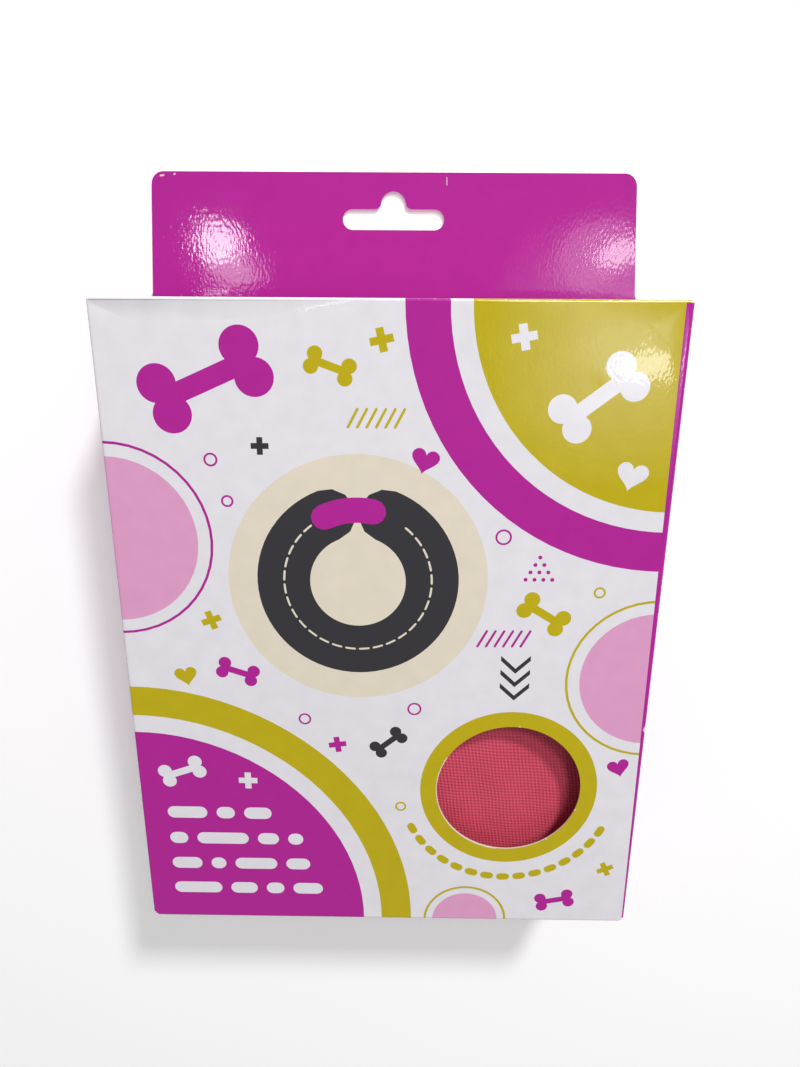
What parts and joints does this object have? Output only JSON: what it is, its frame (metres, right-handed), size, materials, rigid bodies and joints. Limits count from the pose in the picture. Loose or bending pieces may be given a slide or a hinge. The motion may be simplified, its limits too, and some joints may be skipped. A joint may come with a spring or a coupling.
{
  "type": "boxed inflatable recovery collar",
  "caption": "Closed hanging retail carton with a hinged tuck lid and a round window; inside it a deflated cloth recovery collar lies folded, with bladder, valve and strap.",
  "frame": {"origin": "middle of the carton and its header, on the surface that the back panel lies on", "axes": "+X to the carton's right seen from its front, +Y towards the hanging header, +Z out of the printed front"},
  "size_m": [0.1604, 0.2394, 0.0532],
  "materials": {
    "printed_board": "white folding board, offset printed and gloss laminated outside, bare inside",
    "lid_board": "folding board, printed magenta and gloss laminated outside, bare inside",
    "cover_cloth": "plain-woven coral cloth, matt",
    "bladder_film": "soft welded film",
    "valve_plastic": "soft moulded plastic",
    "strap_cloth": "hook-and-loop tape, matt"
  },
  "bodies": {
    "package": {"carton": "printed_board", "collar_cover": "cover_cloth", "bladder": "bladder_film", "valve": "valve_plastic", "closure_strap": "strap_cloth"},
    "lid": {"lid": "lid_board"}
  },
  "joints": [
    {"name": "lid_hinge", "type": "hinge", "parent": "package", "child": "lid", "pos_m": [0, 0.08371, 0.0532], "axis": [1, 0, 0], "range_deg": [0, 150]}
  ]
}
